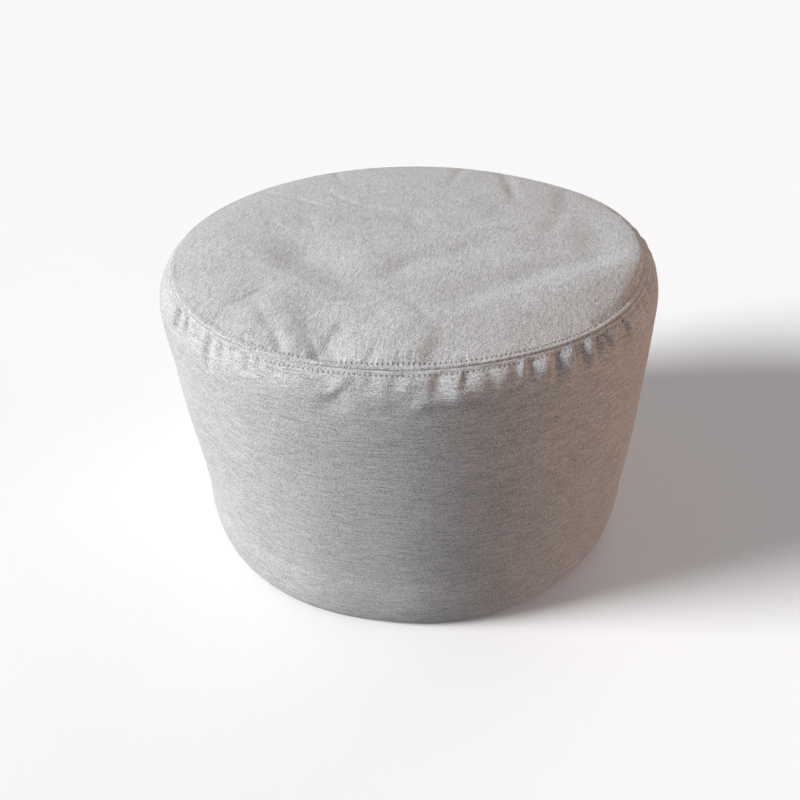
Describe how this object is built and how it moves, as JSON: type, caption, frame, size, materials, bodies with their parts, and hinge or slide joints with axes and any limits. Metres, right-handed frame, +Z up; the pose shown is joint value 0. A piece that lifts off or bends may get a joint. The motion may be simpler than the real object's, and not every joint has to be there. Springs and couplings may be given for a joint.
{
  "type": "bean bag footstool",
  "caption": "Round filled fabric footstool with a crowned top panel, a tapered side band gathered under a topstitched seam, and a flat base.",
  "frame": {"origin": "on the floor under the middle of the stool's bounding box", "axes": "+Z up; -Y is the front; the round body's short direction is +Z"},
  "size_m": [0.5115, 0.5089, 0.335],
  "materials": {
    "top_cloth": "matt plain weave, heathered light grey, slubs running front to back",
    "band_cloth": "matt plain weave, heathered light grey, slubs running around",
    "base_cloth": "matt plain weave, plain light grey",
    "thread": "matt sewing thread in the cloth's own grey"
  },
  "bodies": {
    "root": {"top_panel": "top_cloth", "side_band": "band_cloth", "base_panel": "base_cloth"}
  },
  "joints": []
}
